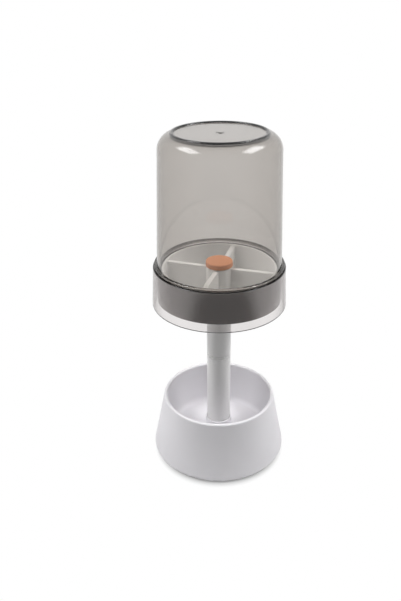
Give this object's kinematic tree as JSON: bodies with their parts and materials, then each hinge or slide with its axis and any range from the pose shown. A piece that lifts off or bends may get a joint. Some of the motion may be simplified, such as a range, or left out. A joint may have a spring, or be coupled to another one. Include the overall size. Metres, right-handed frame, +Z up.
{
  "type": "covered toothbrush holder",
  "caption": "Free-standing toothbrush holder: a white base with a round well, a post, a divided head in a clear collar, and an upturned smoky cup that lifts off as the cover.",
  "frame": {"origin": "on the holder's axis, on the surface that it stands on, level with the underside of the anti-slip ring", "axes": "+Z up along the post; the insert's four walls lie along +X, +Y, -X and -Y"},
  "size_m": [0.0962, 0.0962, 0.2338],
  "materials": {
    "white_matte": "fine matte moulded white",
    "white_satin": "satin moulded white",
    "dark_grey": "glossy, nearly black grey",
    "smoke_clear": "polished see-through smoky grey",
    "clear": "polished clear",
    "terracotta": "soft matte orange-brown",
    "grey_rubber": "matte",
    "steel": "plain zinc-plated",
    "brass": "turned"
  },
  "bodies": {
    "stand": {"base_shell": "white_matte", "base_plate": "white_matte", "anti_slip_ring": "grey_rubber", "post_screw": "steel", "screw_washer": "steel", "lower_post": "white_satin", "post_coupler": "white_satin", "upper_post": "white_satin", "post_nut": "brass", "divider_insert": "white_satin", "collar_band": "dark_grey", "clear_collar": "clear"},
    "stud": {"knob_stud": "steel"},
    "knob": {"clamp_knob": "terracotta"},
    "cover": {"cover_cup": "smoke_clear"}
  },
  "joints": [
    {"name": "cover_lift", "type": "slide", "parent": "stand", "child": "cover", "axis": [0, 0, 1], "range_m": [0, 0.05]},
    {"name": "knob_rise", "type": "slide", "parent": "stand", "child": "stud", "axis": [0, 0, 1], "range_m": [0, 0.006]},
    {"name": "knob_turn", "type": "hinge", "parent": "stud", "child": "knob", "pos_m": [0, 0, 0.1458], "axis": [0, 0, 1], "range_deg": [0, 2160]}
  ],
  "couplings": [
    {"joint": "knob_turn", "follows": "knob_rise", "rad_per_m": 6283.2}
  ]
}
